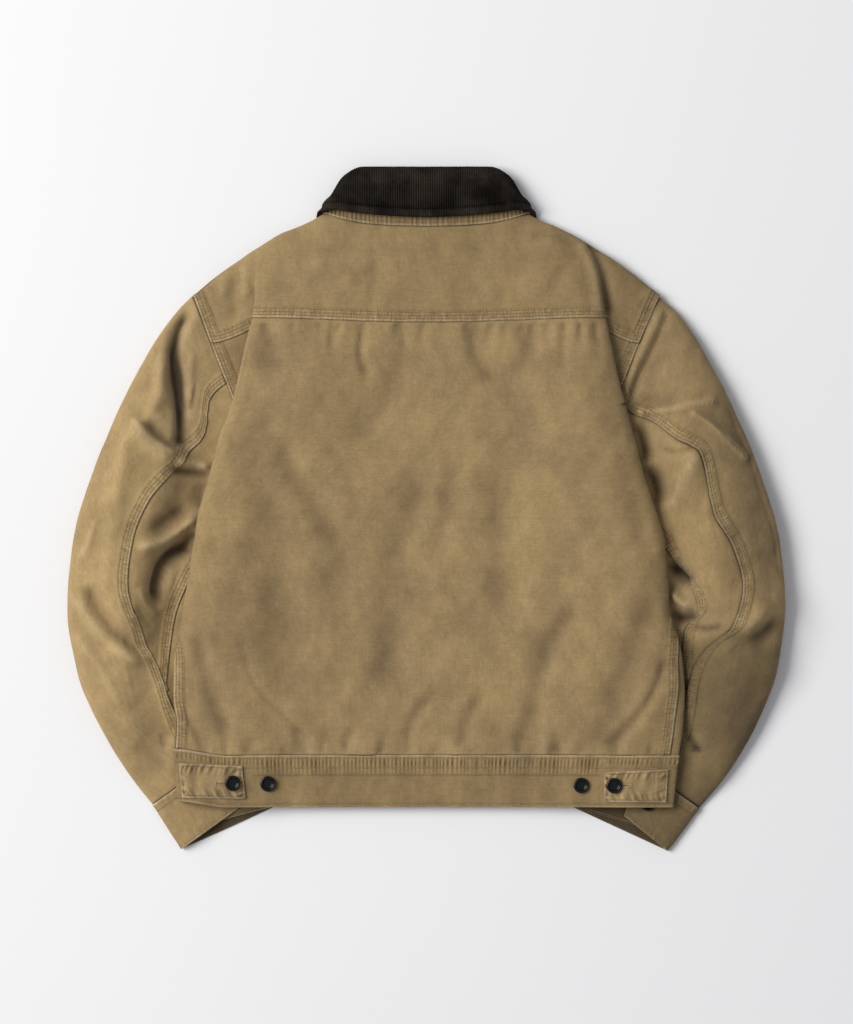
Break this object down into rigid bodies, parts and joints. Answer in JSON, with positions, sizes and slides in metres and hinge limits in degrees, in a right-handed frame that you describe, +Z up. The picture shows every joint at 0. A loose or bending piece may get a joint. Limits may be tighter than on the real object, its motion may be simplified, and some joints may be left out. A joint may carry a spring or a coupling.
{
  "type": "chore jacket laid flat, back up",
  "caption": "Short canvas work jacket with a corduroy collar and hem adjuster tabs, laid flat with its back up.",
  "frame": {"origin": "centre of the laid jacket's bounding box, on the surface it lies on", "axes": "+Z up off the surface, +Y from the hem to the collar, +X to the wearer's right with the back up"},
  "size_m": [0.779, 0.7445, 0.0435],
  "materials": {
    "canvas": "washed cotton duck, matte",
    "corduroy": "fine wale corduroy, matte",
    "button_resin": "semi-gloss"
  },
  "bodies": {
    "root": {"back": "canvas", "yoke": "canvas", "front_left": "canvas", "front_right": "canvas", "hem_band": "canvas", "collar_stand": "canvas", "tab_left": "canvas", "tab_right": "canvas", "sleeve_left_outer": "canvas", "sleeve_left_elbow": "canvas", "sleeve_left_under": "canvas", "sleeve_right_outer": "canvas", "sleeve_right_elbow": "canvas", "sleeve_right_under": "canvas", "cuff_left": "canvas", "cuff_right": "canvas", "collar_leaf": "corduroy", "button_hem_left_tab": "button_resin", "button_hem_left_free": "button_resin", "button_hem_right_tab": "button_resin", "button_hem_right_free": "button_resin", "button_cuff_left": "button_resin", "button_cuff_right": "button_resin", "button_front_1": "button_resin", "button_front_2": "button_resin", "button_front_3": "button_resin", "button_front_4": "button_resin", "button_front_5": "button_resin"}
  },
  "joints": []
}
